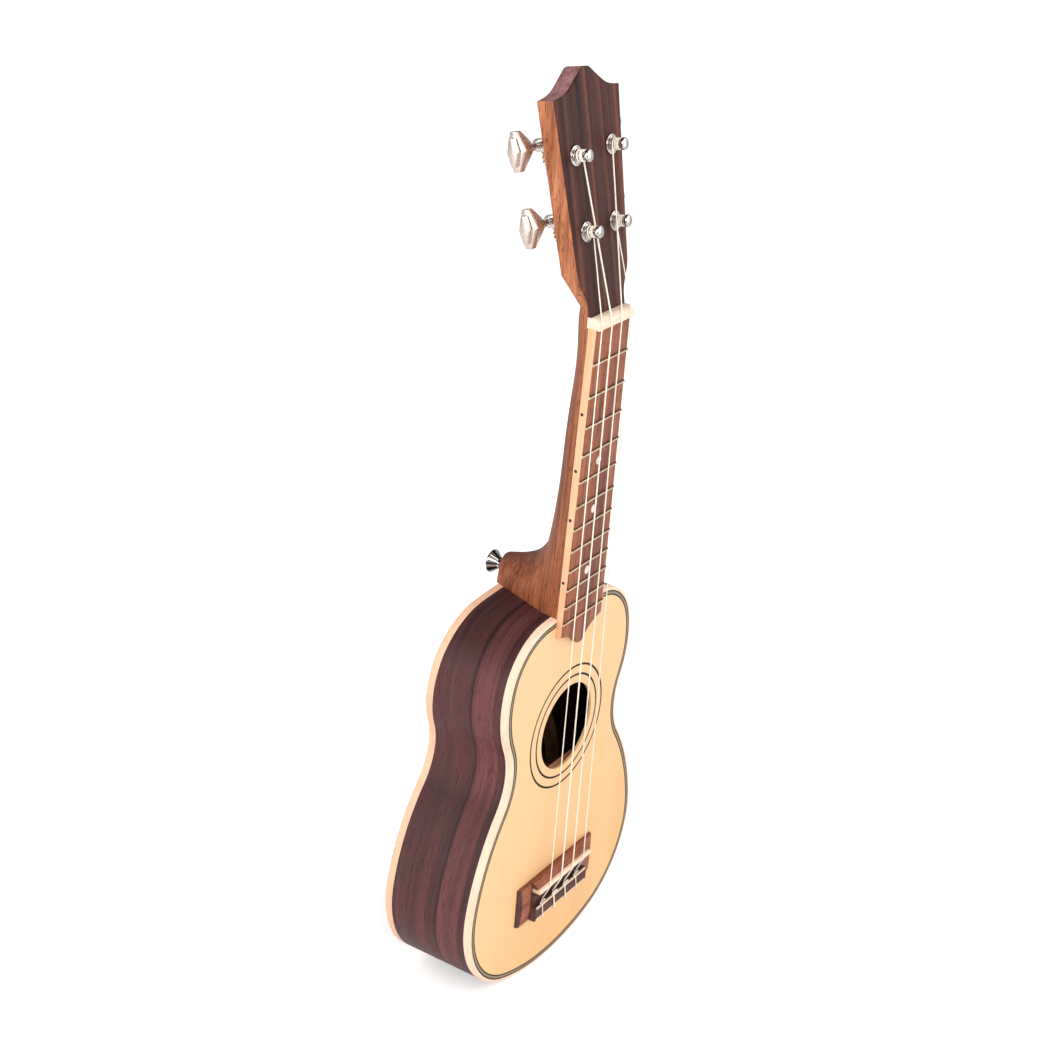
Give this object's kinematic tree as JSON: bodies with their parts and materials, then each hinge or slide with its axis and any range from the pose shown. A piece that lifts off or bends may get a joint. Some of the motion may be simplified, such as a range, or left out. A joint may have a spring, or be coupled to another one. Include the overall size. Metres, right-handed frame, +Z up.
{
  "type": "ukulele",
  "caption": "Four-string soprano ukulele with a waisted flat-top body, tilted headstock, worm-geared tuners, tie bridge and a heel strap button.",
  "frame": {"origin": "on the flat of the back, on the centre line, straight behind the nominal scale end, 1 mm above the crown of the saddle", "axes": "+Z up along the neck, -Y out of the soundboard (the back faces +Y), +X towards the treble side"},
  "size_m": [0.1756, 0.0701, 0.5394],
  "materials": {
    "spruce_top": "satin lacquer, fine vertical grain",
    "rosewood_body": "gloss lacquer, dark streaks",
    "maple_binding": "satin lacquer",
    "dark_inlay": "dark and light veneer lines",
    "mahogany": "satin lacquer",
    "head_rosewood": "gloss lacquer, fine streaks",
    "fretboard_rosewood": "oiled",
    "bridge_rosewood": "oiled",
    "inner_wood": "bare wood",
    "fret_wire": "polished nickel silver",
    "bone": "polished bone",
    "pearl": "mother of pearl",
    "black_dot": "black",
    "string_nylon": "translucent white",
    "plated_metal": "nickel plate",
    "worm_steel": "nickel plate",
    "gear_brass": "satin",
    "screw_steel": "plated"
  },
  "bodies": {
    "body": {"soundboard": "spruce_top", "rosette_rings": "dark_inlay", "top_purfling": "dark_inlay", "back_plate": "rosewood_body", "side_bass": "rosewood_body", "side_treble": "rosewood_body", "top_binding": "maple_binding", "back_binding": "maple_binding", "neck_block": "mahogany", "tail_block": "mahogany", "top_lining": "inner_wood", "back_lining": "inner_wood", "top_braces": "inner_wood", "bridge_plate": "inner_wood", "back_braces": "inner_wood", "neck": "mahogany", "head_veneer": "head_rosewood", "fretboard": "fretboard_rosewood", "fretboard_bindings": "maple_binding", "frets": "fret_wire", "fret_dots": "pearl", "side_dots": "black_dot", "nut": "bone", "bridge": "bridge_rosewood", "saddle": "bone", "tie_block_trims": "bone", "string_g": "string_nylon", "string_c": "string_nylon", "string_e": "string_nylon", "string_a": "string_nylon", "strap_button": "plated_metal", "strap_button_screw": "plated_metal", "tuner_plates": "plated_metal", "post_bushings": "plated_metal", "tuner_plate_screws": "screw_steel"},
    "worm_g": {"worm_g": "worm_steel", "button_g": "plated_metal"},
    "post_g": {"post_g": "plated_metal", "gear_g": "gear_brass", "gear_screw_g": "screw_steel", "string_g_coil": "string_nylon"},
    "worm_c": {"worm_c": "worm_steel", "button_c": "plated_metal"},
    "post_c": {"post_c": "plated_metal", "gear_c": "gear_brass", "gear_screw_c": "screw_steel", "string_c_coil": "string_nylon"},
    "worm_e": {"worm_e": "worm_steel", "button_e": "plated_metal"},
    "post_e": {"post_e": "plated_metal", "gear_e": "gear_brass", "gear_screw_e": "screw_steel", "string_e_coil": "string_nylon"},
    "worm_a": {"worm_a": "worm_steel", "button_a": "plated_metal"},
    "post_a": {"post_a": "plated_metal", "gear_a": "gear_brass", "gear_screw_a": "screw_steel", "string_a_coil": "string_nylon"}
  },
  "joints": [
    {"name": "button_turn_g", "type": "hinge", "parent": "body", "child": "worm_g", "pos_m": [-0.0142, -0.03605, 0.39836], "axis": [1, 0, 0], "continuous": true},
    {"name": "post_turn_g", "type": "hinge", "parent": "body", "child": "post_g", "pos_m": [-0.0142, -0.05276, 0.39476], "axis": [0, -0.9781, 0.2079], "continuous": true},
    {"name": "button_turn_c", "type": "hinge", "parent": "body", "child": "worm_c", "pos_m": [-0.0174, -0.02783, 0.437], "axis": [1, 0, 0], "continuous": true},
    {"name": "post_turn_c", "type": "hinge", "parent": "body", "child": "post_c", "pos_m": [-0.0174, -0.04455, 0.43339], "axis": [0, -0.9781, 0.2079], "continuous": true},
    {"name": "button_turn_e", "type": "hinge", "parent": "body", "child": "worm_e", "pos_m": [0.0174, -0.02783, 0.437], "axis": [1, 0, 0], "continuous": true},
    {"name": "post_turn_e", "type": "hinge", "parent": "body", "child": "post_e", "pos_m": [0.0174, -0.04455, 0.43339], "axis": [0, -0.9781, 0.2079], "continuous": true},
    {"name": "button_turn_a", "type": "hinge", "parent": "body", "child": "worm_a", "pos_m": [0.0142, -0.03605, 0.39836], "axis": [1, 0, 0], "continuous": true},
    {"name": "post_turn_a", "type": "hinge", "parent": "body", "child": "post_a", "pos_m": [0.0142, -0.05276, 0.39476], "axis": [0, -0.9781, 0.2079], "continuous": true}
  ],
  "couplings": [
    {"joint": "post_turn_g", "follows": "button_turn_g", "ratio": 0.071429},
    {"joint": "post_turn_c", "follows": "button_turn_c", "ratio": 0.071429},
    {"joint": "post_turn_e", "follows": "button_turn_e", "ratio": -0.071429},
    {"joint": "post_turn_a", "follows": "button_turn_a", "ratio": -0.071429}
  ]
}
